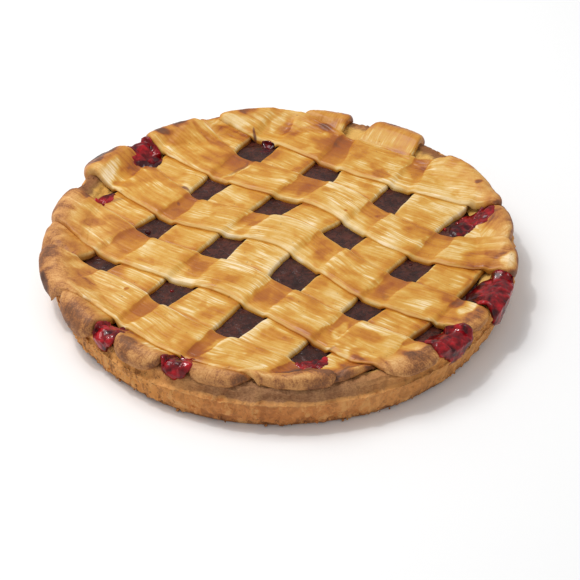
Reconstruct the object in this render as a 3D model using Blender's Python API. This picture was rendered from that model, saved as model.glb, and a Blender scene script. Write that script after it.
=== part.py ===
# Raspberry kuchen: a short pastry shell filled with raspberry jam, under a lattice of ten pastry strips.
# Metres, +Z up. The origin is the centre of the flat base. The front of the tart is towards -Y.

import math

import bmesh
import bpy
import numpy as np

MM = 0.001
GAP = 0.3 * MM  # between pieces that touch
SLACK = 0.25 * MM  # more room under a strip, for the flat facets of what carries it
RIM_SLACK = 0.5 * MM  # and more again where it climbs the rim
CROSS_SLACK = 0.65 * MM  # and where an upper strip crosses a lower one
CROSS_SLACK_ON_RIM = 1.0 * MM

# Section of the shell, from the middle of the base out, over the rim and down to the floor
BASE_RADIUS = 127.0 * MM
FOOT_RADIUS = 131.3 * MM
FOOT_WAVE = 0.9 * MM  # the pastry was pressed unevenly into the tin's lower corner
RIDGE_RADIUS = 135.5 * MM
RIDGE_HEIGHT = 18.0 * MM  # top of the tin that it was baked in
RIM_RADIUS = 135.5 * MM
RIM_HEIGHT = 26.0 * MM
RIM_WIDTH = 8.0 * MM
FLOOR_HEIGHT = 5.0 * MM
WALL_FOOT_RADIUS = 117.0 * MM  # where the inner wall meets the jam
FRONT_TUCK = 5.5 * MM  # the rim leans in this far at the front
FRONT_ANGLE = math.radians(-95.0)
FRONT_SPREAD = math.radians(75.0)
RIM_WAVE = 0.7 * MM  # slow unevenness of the rim
WAVES = ((3, 0.6, 0.7), (7, 0.4, 2.1))  # turns round the tart, share and phase of the two waves of an edge
OUTER_DROP = 1.9 * MM  # what a strip lies on is this much lower at the rim's outer corner
DROOP_RUN = 5.0 * MM  # past that corner a strip hangs down
DROOP = 5.5 * MM
TURN_STEPS = 80

# Jam
JAM_HEIGHT = 20.0 * MM
JAM_CROWN = 0.8 * MM
JAM_WAVE = 0.35 * MM
JAM_RINGS = 9

# Lattice: a strip's centre line is its distance from the middle of the tart at five stations along it.
# The sides are half widths at its start, middle and end, and the ends are the radii that it stops at.
UPPER_ANGLE = math.radians(-33.9)
LOWER_ANGLE = math.radians(53.3)
STATION_STEP = 60.0 * MM
THICKNESS = 4.2 * MM
PRESSED = 0.12  # share of its thickness that a lower strip loses where an upper one presses it
PRESSED_ON_RIM = 0.5  # and where it does so on the rim
STRETCHED = 0.48  # share that an upper strip loses where it lies on a lower one
STRETCHED_ON_RIM = 0.3  # and where it does so on the rim
EDGE_SHARE = 0.5  # height of a strip's cut side, as a share of its thickness
END_TAPER = 0.12  # share of its width that a strip loses towards its ends
TAPER_RUN = 25.0 * MM
CORNER_PULL = 5.5 * MM  # how far the corners of a strip's end are rounded off
CORNER_LIMITS = (95.0 * MM, 108.0 * MM)  # not where a strip's side already runs along the rim
SLOPE_RUN = 7.5 * MM  # how far past a lower strip an upper one comes down on the jam
SKEW_RUN = 60.0 * MM  # length over which a strip's end turns to follow the rim
BED_BLEND = 3.5 * MM  # rounding of a strip's underside where the jam meets the inner wall
ACROSS = (-1.0, -0.85, -0.42, 0.42, 0.85, 1.0)  # lines along a strip, as shares of its half width
END_STEPS = (1.5 * MM, 4.5 * MM, 8.0 * MM)  # where it has lines across it, from its ends
RIM_STEPS = np.linspace(113.0, 133.0, 6) * MM  # and going up the inner wall, as radii
LOWER_STEPS = np.linspace(-100.0, 100.0, 19) * MM  # and between, on a lower strip
LEAST_STEP = 3.0 * MM

UPPER_STRIPS = (
    {"line": (-94, -98, -97, -105, -116), "sides": (21, 16, 13), "ends": (135.5, 137.5)},
    {"line": (-52, -44, -52, -42, -55), "sides": (18.5, 13, 14.5), "ends": (139, 138)},
    {"line": (-2, 7, -7, 5.5, 2), "sides": (18.5, 13, 13), "ends": (145, 135)},
    {"line": (45, 54, 46, 51, 51), "sides": (19, 13.5, 17.5), "ends": (141, 136)},
    {"line": (101, 94.5, 102, 98, 100), "sides": (18, 13.5, 15.5), "ends": (142, 132.5)},
)
LOWER_STRIPS = (
    {"line": (-107, -98.5, -92, -98, -102), "sides": (17, 17, 17), "ends": (141, 136)},
    {"line": (-50, -46.5, -47, -46, -52), "sides": (19.5, 13, 15), "ends": (139, 140.5)},
    {"line": (-1.5, 1.5, -4, 4, -5.5), "sides": (17.5, 14, 19), "ends": (135.5, 142.5)},
    {"line": (44.5, 49.5, 50.5, 52, 50), "sides": (17.5, 14, 19), "ends": (132, 136)},
    {"line": (96, 92, 96, 95, 96), "sides": (15.5, 12.5, 14.5), "ends": (131, 138)},
)

# Jam that has run out between two strips: the layer and the number of the first of the two, the end of them
# that it runs to (-1 start, 1 end), and the radii where it starts and stops
SPILLS = (
    {"layer": "upper", "first": 1, "end": -1, "radii": (110.5, 135)},
    {"layer": "upper", "first": 1, "end": 1, "radii": (108, 136)},
    {"layer": "upper", "first": 2, "end": 1, "radii": (108, 136)},
    {"layer": "lower", "first": 1, "end": -1, "radii": (110, 132.5)},
    {"layer": "lower", "first": 2, "end": -1, "radii": (110, 130)},
    {"layer": "lower", "first": 3, "end": 1, "radii": (108, 121)},
)
SPILL_HEIGHT = 2.6 * MM
SPILL_ROOM = 1.2 * MM  # between a spill and the strips beside it
SPILL_CLEAR_RUN = 3.0 * MM  # it grows to its full height this far past a strip that crosses it
SPILL_TAPER = 0.35  # share of its width that a spill loses towards its outer end
SPILL_ROWS = (113.0 * MM, 117.3 * MM)  # radii of its cross lines near the foot of the inner wall
SPILL_OUTER_ROWS = 5  # and how many more there are from there to its end
SPILL_ACROSS = (-1.0, -0.8, -0.35, 0.35, 0.8, 1.0)

CRUST = (0.74, 0.44, 0.13, 1.0)
CRUST_DEEP = (0.66, 0.36, 0.11, 1.0)
SIDE = (0.50, 0.27, 0.10, 1.0)
JAM = (0.10, 0.008, 0.012, 1.0)
DRY = 0.75  # roughness
WASHED = 0.5
GLOSSY = 0.2


def smooth(low, high, x):
    """0 before low, 1 past high and an even S between them."""
    t = np.clip((x - low) / (high - low), 0.0, 1.0)
    return t * t * (3.0 - 2.0 * t)


def soft_max(a, b, blend):
    return (a + b + np.sqrt((a - b) ** 2 + blend**2)) / 2.0


def unit(angle):
    return np.array((math.cos(angle), math.sin(angle)))


def spline(s, values):
    """A smooth line through the values, which stand STATION_STEP apart and centred on s = 0."""
    v = np.array(values, float) * MM
    v = np.concatenate(([2 * v[0] - v[1]], v, [2 * v[-1] - v[-2]]))
    last = len(values) - 1
    t = np.clip(s / STATION_STEP + last / 2.0, 0.0, last - 1e-9)
    i = t.astype(int)
    f = t - i
    a, b, c, d = v[i], v[i + 1], v[i + 2], v[i + 3]
    return b + 0.5 * f * (c - a + f * (2 * a - 5 * b + 4 * c - d + f * (3 * b - a - 3 * c + d)))


def half_width(strip, s):
    start, middle, end = strip["sides"]
    marks = np.array((-2.0, -1.0, 1.0, 2.0)) * STATION_STEP
    return np.interp(s, marks, np.array((start, middle, middle, end)) * MM)


def along_and_off(angle, x, y):
    """Distance along a strip's direction and to the right of it."""
    d = unit(angle)
    return x * d[0] + y * d[1], x * d[1] - y * d[0]


def cover(strips, angle, x, y, run):
    """1 where a strip of this layer lies, falling to 0 over the given run past its sides and ends."""
    s, off = along_and_off(angle, x, y)
    r = np.hypot(x, y)
    most = np.zeros_like(x)
    for strip in strips:
        past_side = np.abs(off - spline(s, strip["line"])) - half_width(strip, s)
        past_end = r - end_radius(strip, s)
        inside = (1.0 - smooth(0.0, run, past_side)) * (1.0 - smooth(0.0, run, past_end))
        most = np.maximum(most, inside)
    return most


def tuck(theta):
    """How far the rim leans in at this angle."""
    turn = np.abs((theta - FRONT_ANGLE + math.pi) % (2 * math.pi) - math.pi)
    return FRONT_TUCK * (1.0 - smooth(0.0, FRONT_SPREAD, turn))


def wave(theta):
    return sum(share * np.sin(turns * theta + phase) for turns, share, phase in WAVES)


def rim_section():
    """(radius, height, share of the lean) of the points from the jam up the inner wall and over the rim."""
    return (
        (WALL_FOOT_RADIUS - 4 * MM, 15 * MM, 0.0),
        (WALL_FOOT_RADIUS, JAM_HEIGHT, 0.0),
        (WALL_FOOT_RADIUS + 5.5 * MM, RIM_HEIGHT - 3.0 * MM, 0.4),
        (RIM_RADIUS - RIM_WIDTH, RIM_HEIGHT - 0.5 * MM, 0.9),
        (RIM_RADIUS - 0.55 * RIM_WIDTH, RIM_HEIGHT, 1.0),
        (RIM_RADIUS - 0.2 * RIM_WIDTH, RIM_HEIGHT - 0.9 * MM, 1.0),
        (RIM_RADIUS + 0.5 * MM, RIM_HEIGHT - 3.4 * MM, 1.0),
    )


def shell_top(x, y):
    """Height of the inner wall and the rim, and past them a line that falls away under overhanging ends."""
    r = np.hypot(x, y)
    theta = np.arctan2(y, x)
    lean = tuck(theta)
    points = [(radius - share * lean, height) for radius, height, share in rim_section()]
    points[-1] = (points[-1][0], RIM_HEIGHT - OUTER_DROP)
    points.append((points[-1][0] + DROOP_RUN, RIM_HEIGHT - OUTER_DROP - DROOP))
    z = np.full_like(r, FLOOR_HEIGHT)
    for (r0, z0), (r1, z1) in zip(points, points[1:]):
        step = np.clip((r - r0) / (r1 - r0), 0.0, 1.0)
        z = np.where(r >= r0, z0 + (z1 - z0) * step, z)
    return z + RIM_WAVE * wave(theta) * smooth(WALL_FOOT_RADIUS, RIM_RADIUS - RIM_WIDTH, r)


def room(x, y):
    """The gap under a piece that lies on the bed."""
    past_foot = np.hypot(x, y) - WALL_FOOT_RADIUS
    return GAP + SLACK + RIM_SLACK * smooth(-3.0 * MM, 3.0 * MM, past_foot)


def jam_top(x, y):
    r = np.hypot(x, y)
    crown = JAM_CROWN * (1.0 - smooth(0.0, WALL_FOOT_RADIUS, r))
    ripple = np.sin(x / (9 * MM) + 1.3 * np.sin(y / (23 * MM))) * np.sin(y / (8 * MM) + 0.6)
    return JAM_HEIGHT + crown + JAM_WAVE * ripple


def bed(x, y):
    """What the lower strips lie on: the jam, the inner wall and the rim."""
    return soft_max(shell_top(x, y), jam_top(x, y), BED_BLEND)


def on_rim(x, y):
    return smooth(WALL_FOOT_RADIUS, RIM_RADIUS - RIM_WIDTH, np.hypot(x, y))


def lower_thickness(x, y):
    under_upper = cover(UPPER_STRIPS, UPPER_ANGLE, x, y, SLOPE_RUN)
    share = PRESSED + (PRESSED_ON_RIM - PRESSED) * on_rim(x, y)
    return THICKNESS * (1.0 - share * under_upper)


def upper_thickness(x, y):
    on_lower = cover(LOWER_STRIPS, LOWER_ANGLE, x, y, SLOPE_RUN)
    share = STRETCHED + (STRETCHED_ON_RIM - STRETCHED) * on_rim(x, y)
    return THICKNESS * (1.0 - share * on_lower)


def upper_bed(x, y):
    """What the upper strips lie on: the bed raised by the lower strips."""
    slack = CROSS_SLACK + (CROSS_SLACK_ON_RIM - CROSS_SLACK) * on_rim(x, y)
    raised = room(x, y) + slack + lower_thickness(x, y)
    return bed(x, y) + raised * cover(LOWER_STRIPS, LOWER_ANGLE, x, y, SLOPE_RUN)


def material(name, colour, roughness):
    made = bpy.data.materials.new(name)
    made.use_nodes = True
    shader = made.node_tree.nodes["Principled BSDF"]
    shader.inputs["Base Color"].default_value = colour
    shader.inputs["Roughness"].default_value = roughness
    made.diffuse_color = colour
    return made


def add_object(name, bm, collection, finish):
    mesh = bpy.data.meshes.new(name)
    bm.to_mesh(mesh)
    bm.free()
    mesh.shade_smooth()
    obj = bpy.data.objects.new(name, mesh)
    obj.data.materials.append(finish)
    collection.objects.link(obj)
    return obj


def slab(lines_s, lines_t, place, bottom, top):
    """A closed slab: a grid extruded once, its top and bottom corners then moved to where they belong."""
    bm = bmesh.new()
    nx, ny = len(lines_s) - 1, len(lines_t) - 1
    bmesh.ops.create_grid(bm, x_segments=nx, y_segments=ny, size=0.5)
    # Split before it is extruded, so that the facets of the top and the bottom run alike and never cross.
    bmesh.ops.triangulate(bm, faces=list(bm.faces), quad_method="FIXED")
    upper = list(bm.verts)
    faces = bmesh.ops.extrude_face_region(bm, geom=list(bm.faces))["geom"]
    lower = [v for v in faces if isinstance(v, bmesh.types.BMVert)]
    for verts, height in ((upper, top), (lower, bottom)):
        i = np.array([round((v.co.x + 0.5) * nx) for v in verts])
        j = np.array([round((v.co.y + 0.5) * ny) for v in verts])
        s, t = np.array(lines_s)[i], np.array(lines_t)[j]
        x, y = place(s, t)
        for v, co in zip(verts, np.column_stack((x, y, height(x, y, s, t)))):
            v.co = co
    bmesh.ops.recalc_face_normals(bm, faces=list(bm.faces))
    return bm


def end_radius(strip, s):
    return np.where(s < 0.0, strip["ends"][0], strip["ends"][1]) * MM


def end_reach(strip, side):
    """Where the centre line ends, as a distance along it, on side -1 or 1."""
    radius = float(end_radius(strip, side))
    s = side * radius
    for _ in range(5):
        centre = float(spline(np.array(s), strip["line"]))
        s = side * math.sqrt(max(radius**2 - centre**2, 0.0))
    return s


def spaced(marks, start, end, least):
    """Start, end and the marks between them, but none that is too near to one kept before it."""
    kept = [start, end]
    for mark in marks:
        if start < mark < end and min(abs(mark - other) for other in kept) >= least:
            kept.append(mark)
    return sorted(kept)


def strip_lines(strip, marks):
    """Where a strip has cross lines: at the marks, up the inner wall, and close together at both ends."""
    start, end = end_reach(strip, -1), end_reach(strip, 1)
    off = abs(float(spline(np.array(0.0), strip["line"])))
    wanted = list(marks)
    for radius in RIM_STEPS:
        if radius > off:
            wanted += [-math.sqrt(radius**2 - off**2), math.sqrt(radius**2 - off**2)]
    inner = spaced(wanted, start + END_STEPS[-1], end - END_STEPS[-1], LEAST_STEP)
    first = [start] + [start + step for step in END_STEPS[:-1]]
    last = [end - step for step in reversed(END_STEPS[:-1])] + [end]
    return first + inner + last


def end_turn(strip, reach, t):
    """How much further than its centre line a line along the strip goes, so that the end follows the rim."""
    off = spline(reach, strip["line"]) + t * half_width(strip, reach) * (1.0 - END_TAPER)
    pull = CORNER_PULL * t**4 * (1.0 - smooth(*CORNER_LIMITS, np.abs(off)))
    radius = end_radius(strip, reach) - pull
    return np.sqrt(np.maximum(radius**2 - off**2, 0.0)) - np.abs(reach)


def strip_solid(name, strip, angle, marks, carried_by, thickness, collection, finish):
    start, end = end_reach(strip, -1), end_reach(strip, 1)
    direction = unit(angle)

    def from_end(s):
        return np.minimum(s - start, end - s)

    def place(s, t):
        taper = END_TAPER * (1.0 - smooth(0.0, TAPER_RUN, from_end(s)))
        off = spline(s, strip["line"]) + t * half_width(strip, s) * (1.0 - taper)
        turn = end_turn(strip, np.where(s < 0.0, start, end), t)
        along = s + np.sign(s) * turn * (1.0 - smooth(0.0, SKEW_RUN, from_end(s)))
        return along * direction[0] + off * direction[1], along * direction[1] - off * direction[0]

    def bottom(x, y, s, t):
        return carried_by(x, y) + room(x, y)

    def top(x, y, s, t):
        round_side = (1.0 - np.abs(t) ** 6) ** 0.6
        round_end = smooth(-3.0 * MM, 7.0 * MM, from_end(s))
        share = EDGE_SHARE + (1.0 - EDGE_SHARE) * round_side * round_end
        return carried_by(x, y) + room(x, y) + thickness(x, y) * share

    bm = slab(strip_lines(strip, marks), ACROSS, place, bottom, top)
    return add_object(name, bm, collection, finish)


def crossing_marks(strip):
    """Cross lines of an upper strip where it goes up on and comes down from each lower strip."""
    marks = []
    for lower in LOWER_STRIPS:
        at = float(spline(np.array(0.0), lower["line"]))
        here = float(spline(np.array(at), strip["line"]))
        at = float(spline(np.array(-here), lower["line"]))
        half = float(half_width(lower, np.array(-here)))
        for past in (-half - SLOPE_RUN, -half, -0.5 * half, 0.5 * half, half, half + SLOPE_RUN):
            marks.append(at + past)
    return marks


def turned(profile, steps):
    """A closed solid from a profile that starts and ends on the axis."""
    bm = bmesh.new()
    verts = [bm.verts.new((r, 0.0, z)) for r, z in profile]
    edges = [bm.edges.new(pair) for pair in zip(verts, verts[1:])]
    bmesh.ops.spin(bm, geom=verts + edges, cent=(0, 0, 0), axis=(0, 0, 1), angle=2 * math.pi, steps=steps)
    bmesh.ops.remove_doubles(bm, verts=list(bm.verts), dist=0.01 * MM)
    bmesh.ops.recalc_face_normals(bm, faces=list(bm.faces))
    return bm


def build_shell(collection, finish):
    outside = (
        (0.0, 0.0, 0.0),
        (BASE_RADIUS, 0.0, 0.0),
        (FOOT_RADIUS, 1.4 * MM, 0.0),
        (FOOT_RADIUS + 2.2 * MM, 7.0 * MM, 0.0),
        (RIDGE_RADIUS - 0.9 * MM, RIDGE_HEIGHT - 3.5 * MM, 0.0),
        (RIDGE_RADIUS, RIDGE_HEIGHT, 0.0),
        (RIDGE_RADIUS - 1.2 * MM, RIDGE_HEIGHT + 1.0 * MM, 0.15),
    )
    inside = (
        (WALL_FOOT_RADIUS - 6.0 * MM, FLOOR_HEIGHT + 3.0 * MM, 0.0),
        (WALL_FOOT_RADIUS - 10.0 * MM, FLOOR_HEIGHT, 0.0),
        (0.0, FLOOR_HEIGHT, 0.0),
    )
    section = outside + tuple(reversed(rim_section())) + inside
    bm = turned([(r, z) for r, z, _ in section], TURN_STEPS)
    shares = {(round(r, 7), round(z, 7)): share for r, z, share in section}
    for v in bm.verts:
        r = math.hypot(v.co.x, v.co.y)
        theta = math.atan2(v.co.y, v.co.x)
        share = shares[min(shares, key=lambda rz: math.hypot(rz[0] - r, rz[1] - v.co.z))]
        high = float(smooth(RIDGE_HEIGHT, RIM_HEIGHT - 2.0 * MM, v.co.z))
        low = 1.0 - float(smooth(RIDGE_HEIGHT - 10.0 * MM, RIDGE_HEIGHT, v.co.z))
        out = FOOT_WAVE * float(wave(theta)) * low if r >= BASE_RADIUS - GAP else 0.0
        v.co.z += RIM_WAVE * float(wave(theta)) * high
        if r > 0.0:
            grown = 1.0 + (out - share * float(tuck(theta))) / r
            v.co.x *= grown
            v.co.y *= grown
    return add_object("shell", bm, collection, finish)


def build_spill(spill, collection, finish):
    layers = [(UPPER_STRIPS, UPPER_ANGLE), (LOWER_STRIPS, LOWER_ANGLE)]
    if spill["layer"] == "lower":
        layers.reverse()
    (strips, angle), crossing = layers
    near, far = strips[spill["first"]], strips[spill["first"] + 1]
    middle = (near["line"][2] + far["line"][2]) / 2.0 * MM
    first, last = (radius * MM for radius in spill["radii"])
    direction = unit(angle)

    def place(s, t):
        radius = first + (last - first) * s
        along = spill["end"] * np.sqrt(radius**2 - middle**2)
        low = spline(along, near["line"]) + half_width(near, along) + SPILL_ROOM
        high = spline(along, far["line"]) - half_width(far, along) - SPILL_ROOM
        narrow = 1.0 - SPILL_TAPER * smooth(0.6, 1.0, s)
        off = (low + high) / 2.0 + t * (high - low) / 2.0 * narrow
        along = spill["end"] * np.sqrt(radius**2 - off**2)
        return along * direction[0] + off * direction[1], along * direction[1] - off * direction[0]

    def bottom(x, y, s, t):
        return np.maximum(shell_top(x, y) + room(x, y), JAM_HEIGHT - 2.5 * MM)

    def top(x, y, s, t):
        clear = 1.0 - cover(*crossing, x, y, SPILL_CLEAR_RUN)
        dome = (1.0 - 0.75 * np.abs(t) ** 4) * (1.0 - 0.8 * smooth(0.7, 1.0, s))
        low = np.maximum(shell_top(x, y) + room(x, y) + 2.0 * GAP, jam_top(x, y) - GAP)
        return low + SPILL_HEIGHT * clear * dome

    outer = np.linspace(SPILL_ROWS[-1], last, SPILL_OUTER_ROWS + 1)[1:]
    rows = (np.array((first, *SPILL_ROWS, *outer)) - first) / (last - first)
    bm = slab(rows, SPILL_ACROSS, place, bottom, top)
    return add_object("spill", bm, collection, finish)


def build_filling(collection, cutters, finish):
    side = (
        (WALL_FOOT_RADIUS - 0.8 * MM, JAM_HEIGHT - 0.4 * MM),
        (WALL_FOOT_RADIUS - 4.5 * MM, 15.0 * MM),
        (WALL_FOOT_RADIUS - 6.5 * MM, FLOOR_HEIGHT + 3.2 * MM),
        (WALL_FOOT_RADIUS - 10.2 * MM, FLOOR_HEIGHT + GAP),
        (0.0, FLOOR_HEIGHT + GAP),
    )
    rings = np.linspace(0.0, WALL_FOOT_RADIUS - 3.0 * MM, JAM_RINGS)
    bm = turned([(r, JAM_HEIGHT) for r in rings] + list(side), TURN_STEPS)
    for v in bm.verts:
        if v.co.z == np.float32(JAM_HEIGHT):
            v.co.z = float(jam_top(np.array(v.co.x), np.array(v.co.y)))
    bmesh.ops.recalc_face_normals(bm, faces=list(bm.faces))
    filling = add_object("filling", bm, collection, finish)
    spills = [build_spill(spill, cutters, finish) for spill in SPILLS]
    join = filling.modifiers.new("spills", "BOOLEAN")
    join.operation = "UNION"
    join.operand_type = "COLLECTION"
    join.collection = cutters
    graph = bpy.context.evaluated_depsgraph_get()
    filling.data = bpy.data.meshes.new_from_object(filling.evaluated_get(graph))
    filling.modifiers.clear()
    for spill in spills:
        bpy.data.objects.remove(spill)
    return filling


def build():
    for obj in list(bpy.data.objects):
        bpy.data.objects.remove(obj)
    parts = bpy.data.collections.new("raspberry_kuchen")
    spills = bpy.data.collections.new("jam_spills")
    for collection in (parts, spills):
        bpy.context.scene.collection.children.link(collection)
    build_shell(parts, material("shell_crust", SIDE, DRY))
    build_filling(parts, spills, material("raspberry_jam", JAM, GLOSSY))
    bpy.data.collections.remove(spills)
    for number, strip in enumerate(LOWER_STRIPS, 1):
        name = f"lower_strip_{number}"
        finish = material(name, CRUST_DEEP, WASHED)
        strip_solid(name, strip, LOWER_ANGLE, LOWER_STEPS, bed, lower_thickness, parts, finish)
    for number, strip in enumerate(UPPER_STRIPS, 1):
        name = f"upper_strip_{number}"
        finish = material(name, CRUST, WASHED)
        marks = crossing_marks(strip)
        strip_solid(name, strip, UPPER_ANGLE, marks, upper_bed, upper_thickness, parts, finish)


build()
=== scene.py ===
import math

import bmesh
import bpy
import numpy as np
from mathutils import Matrix


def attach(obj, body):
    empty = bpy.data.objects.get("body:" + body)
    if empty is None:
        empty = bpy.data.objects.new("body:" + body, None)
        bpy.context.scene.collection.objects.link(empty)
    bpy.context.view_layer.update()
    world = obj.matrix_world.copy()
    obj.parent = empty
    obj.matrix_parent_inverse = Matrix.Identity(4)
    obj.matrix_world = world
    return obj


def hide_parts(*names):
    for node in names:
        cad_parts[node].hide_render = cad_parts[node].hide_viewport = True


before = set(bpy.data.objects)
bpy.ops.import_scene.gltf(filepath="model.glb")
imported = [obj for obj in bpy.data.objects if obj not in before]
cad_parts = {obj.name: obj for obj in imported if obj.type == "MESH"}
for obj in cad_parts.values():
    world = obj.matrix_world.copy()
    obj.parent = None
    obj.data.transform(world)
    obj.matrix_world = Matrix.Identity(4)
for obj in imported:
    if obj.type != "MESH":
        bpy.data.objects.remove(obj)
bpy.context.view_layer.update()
print("frame loaded:", len(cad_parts), "nodes")

mm = 0.001
random = np.random.default_rng(7)

fullTurn = 6.28  # near enough for random phases and uneven edges
# Sizes of the baked tart, which every piece is fitted to
crust = {
    "footWave": 0.9 * mm,
    "footRun": (8.0 * mm, 18.0 * mm),  # the heights over which that wave fades out
    "rimRadius": 135.5 * mm,
    "rimHeight": 26.0 * mm,
    "rimWidth": 8.0 * mm,
    "floorHeight": 5.0 * mm,
    "wallFoot": 117.0 * mm,
    "frontTuck": 5.5 * mm,  # the rim leans in this far at the front
    "frontAngle": math.radians(-95),
    "frontSpread": math.radians(75),
    "rimWave": 0.7 * mm,
    "waves": ((3, 0.6, 0.7), (7, 0.4, 2.1)),
    "outerDrop": 1.9 * mm,
    "droopRun": 5.0 * mm,
    "droop": 4.6 * mm,
}
jam = {
    "height": 20.0 * mm,
    "crown": 0.8 * mm,
    "wave": 0.35 * mm,
    "blend": 3.5 * mm,
}
lattice = {
    "upperAngle": math.radians(-33.9),
    "lowerAngle": math.radians(53.3),
    "stationStep": 60.0 * mm,
    "thickness": 4.2 * mm,
    "pressed": 0.12,
    "pressedOnRim": 0.5,
    "stretched": 0.48,
    "stretchedOnRim": 0.3,
    "slopeRun": 5.0 * mm,
    "skewRun": 60.0 * mm,
    "endTaper": 0.12,
    "taperRun": 25.0 * mm,
    "cornerPull": 5.5 * mm,
    "cornerLimits": (104.0 * mm, 122.0 * mm),
    "endInset": 1.5 * mm,
    "sink": 0.4 * mm,  # how far a strip is baked into what carries it
}
# Each strip in mm: its centre line at five stations, its half width at the start, middle and end, and for
# both ends the radius where it stops and how far it puffs up
upperStrips = (
    {"line": (-94, -98, -97, -105, -116), "sides": (21, 16, 13), "ends": (135.5, 137.5), "puff": (0.8, 0.2)},
    {"line": (-52, -44, -52, -42, -55), "sides": (18.5, 13, 14.5), "ends": (139, 138), "puff": (1.0, -0.8)},
    {"line": (-3.5, 7, -7, 5.5, 2), "sides": (17, 13, 13), "ends": (145, 135), "puff": (1.2, -2.3)},
    {"line": (47, 54, 46, 51, 51), "sides": (17.5, 13.5, 17.5), "ends": (141, 136), "puff": (0.2, -2.2)},
    {"line": (101, 94.5, 102, 98, 100), "sides": (18, 13.5, 15.5), "ends": (142, 131.5), "puff": (0.6, 1.2)},
)
lowerStrips = (
    {"line": (-107, -98.5, -92, -98, -102), "sides": (17, 17, 17), "ends": (141, 136), "puff": (0.0, 0.4)},
    {"line": (-50, -46.5, -47, -46, -52), "sides": (19.5, 13, 15), "ends": (139, 140.5), "puff": (1.2, 0.5)},
    {"line": (-1.5, 1.5, -4, 4, -5.5), "sides": (17.5, 14, 19), "ends": (135.5, 142.5), "puff": (1.2, 0.4)},
    {"line": (44.5, 49.5, 50.5, 52, 50), "sides": (17.5, 14, 19), "ends": (132, 136), "puff": (0.8, 0.3)},
    {"line": (96, 92, 96, 95, 96), "sides": (15.5, 12.5, 14.5), "ends": (129, 138), "puff": (0.4, 0.0)},
)


# Where things lie: x to the right, y to the back, and heights over the table

def smooth(low, high, x):
    t = np.clip((x - low) / (high - low), 0.0, 1.0)
    return t * t * (3.0 - 2.0 * t)


def softMax(a, b, blend):
    return (a + b + np.sqrt((a - b) ** 2 + blend ** 2)) / 2.0


def unit(angle):
    return np.array((math.cos(angle), math.sin(angle)))


def spline(s, values):
    v = np.array(values, float) * mm
    v = np.concatenate(([2 * v[0] - v[1]], v, [2 * v[-1] - v[-2]]))
    last = len(values) - 1
    t = np.clip(s / lattice["stationStep"] + last / 2.0, 0.0, last - 1e-9)
    i = t.astype(int)
    f = t - i
    a, b, c, d = v[i], v[i + 1], v[i + 2], v[i + 3]
    return b + 0.5 * f * (c - a + f * (2 * a - 5 * b + 4 * c - d + f * (3 * b - a - 3 * c + d)))


def halfWidth(strip, s):
    start, middle, end = strip["sides"]
    marks = np.array((-2.0, -1.0, 1.0, 2.0)) * lattice["stationStep"]
    return np.interp(s, marks, np.array((start, middle, middle, end)) * mm)


def alongAndOff(angle, x, y):
    d = unit(angle)
    return x * d[0] + y * d[1], x * d[1] - y * d[0]


def endRadius(strip, s):
    return np.where(s < 0.0, strip["ends"][0], strip["ends"][1]) * mm - lattice["endInset"]


def cover(strips, angle, x, y, run):
    # 1 where a strip of this layer lies, falling to 0 past its sides and ends
    s, off = alongAndOff(angle, x, y)
    r = np.hypot(x, y)
    most = np.zeros_like(x)
    for strip in strips:
        pastSide = np.abs(off - spline(s, strip["line"])) - halfWidth(strip, s)
        pastEnd = r - endRadius(strip, s)
        most = np.maximum(most, (1.0 - smooth(0.0, run, pastSide)) * (1.0 - smooth(0.0, run, pastEnd)))
    return most


def lowerCover(x, y, run=lattice["slopeRun"]):
    return cover(lowerStrips, lattice["lowerAngle"], x, y, run)


def upperCover(x, y, run=lattice["slopeRun"]):
    return cover(upperStrips, lattice["upperAngle"], x, y, run)


def tuck(theta):
    turn = np.abs((theta - crust["frontAngle"] + math.pi) % (2 * math.pi) - math.pi)
    return crust["frontTuck"] * (1.0 - smooth(0.0, crust["frontSpread"], turn))


def rimPath():
    # radius, height and share of the lean, from the jam up the inner wall and over the rim
    foot, rim = crust["wallFoot"], crust["rimRadius"]
    top, width = crust["rimHeight"], crust["rimWidth"]
    return [
        (foot - 4 * mm, 15 * mm, 0.0),
        (foot, jam["height"], 0.0),
        (foot + 5.5 * mm, top - 3.0 * mm, 0.4),
        (rim - width, top - 0.5 * mm, 0.9),
        (rim - 0.55 * width, top, 1.0),
        (rim - 0.2 * width, top - 0.9 * mm, 1.0),
        (rim + 0.5 * mm, top - 3.4 * mm, 1.0),
    ]


def wave(theta):
    return sum(share * np.sin(turns * theta + phase) for turns, share, phase in crust["waves"])


def onRim(x, y):
    return smooth(crust["wallFoot"], crust["rimRadius"] - crust["rimWidth"], np.hypot(x, y))


def crustTop(x, y):
    # the inner wall and the rim, and past them a line that falls away under overhanging ends
    r, theta = np.hypot(x, y), np.arctan2(y, x)
    lean = tuck(theta)
    points = [(radius - share * lean, height) for radius, height, share in rimPath()]
    edge = crust["rimHeight"] - crust["outerDrop"]
    points[-1] = (points[-1][0], edge)
    points.append((points[-1][0] + crust["droopRun"], edge - crust["droop"]))
    z = np.full_like(r, crust["floorHeight"])
    for (r0, z0), (r1, z1) in zip(points, points[1:]):
        step = np.clip((r - r0) / (r1 - r0), 0.0, 1.0)
        z = np.where(r >= r0, z0 + (z1 - z0) * step, z)
    return z + crust["rimWave"] * wave(theta) * onRim(x, y)


def jamTop(x, y):
    r = np.hypot(x, y)
    crown = jam["crown"] * (1.0 - smooth(0.0, crust["wallFoot"], r))
    ripple = np.sin(x / (9 * mm) + 1.3 * np.sin(y / (23 * mm))) * np.sin(y / (8 * mm) + 0.6)
    return jam["height"] + crown + jam["wave"] * ripple


def lowerBed(x, y):
    return softMax(crustTop(x, y), jamTop(x, y), jam["blend"])


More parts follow.
